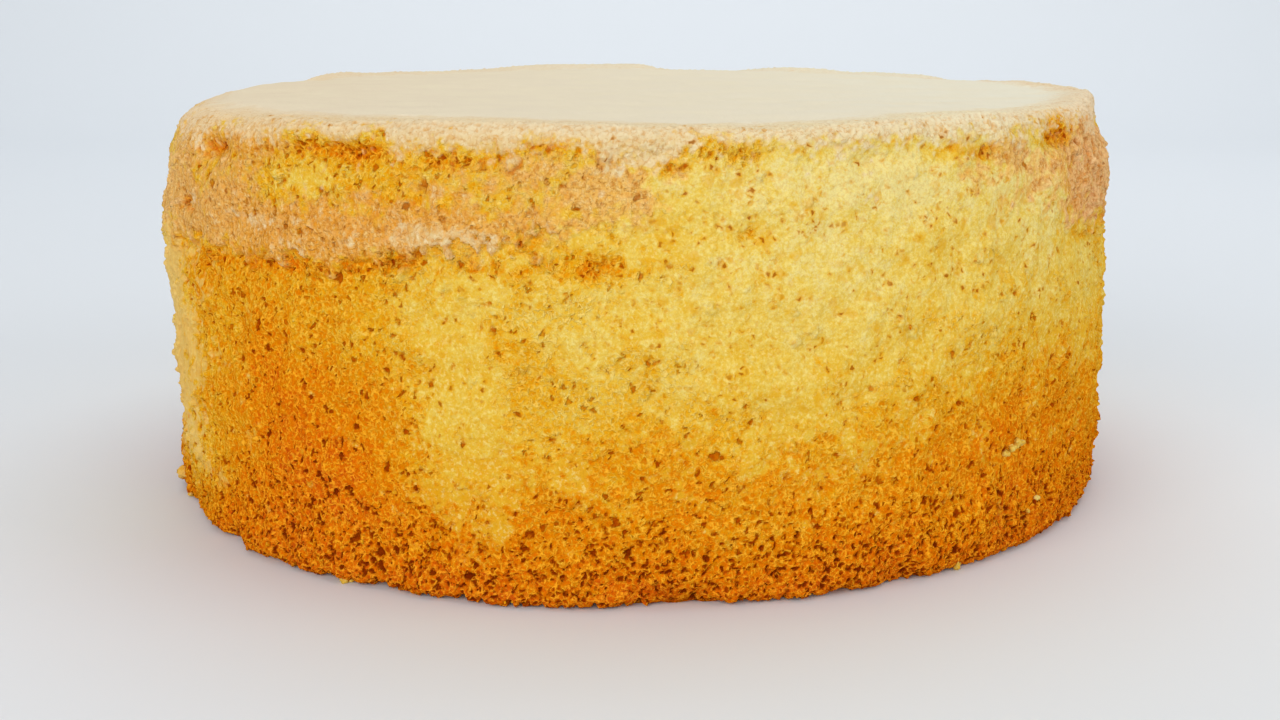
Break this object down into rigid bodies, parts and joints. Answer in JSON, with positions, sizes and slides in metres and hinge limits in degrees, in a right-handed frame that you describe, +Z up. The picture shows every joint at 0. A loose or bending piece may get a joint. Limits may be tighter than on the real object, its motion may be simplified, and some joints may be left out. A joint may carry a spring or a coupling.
{
  "type": "sponge cake",
  "caption": "Plain round sponge cake, whole and uncut, with a pale flat top crust, porous golden sides and a browned foot, standing on its flat base.",
  "frame": {"origin": "middle of the flat base, on the surface that the cake stands on", "axes": "+Z up through the middle of the top, -Y towards the side that the picture shows, +X to its right"},
  "size_m": [0.2023, 0.2022, 0.0827],
  "materials": {
    "golden_crumb": "matte, porous baked crumb"
  },
  "bodies": {
    "root": {"sponge_cake": "golden_crumb"}
  },
  "joints": []
}
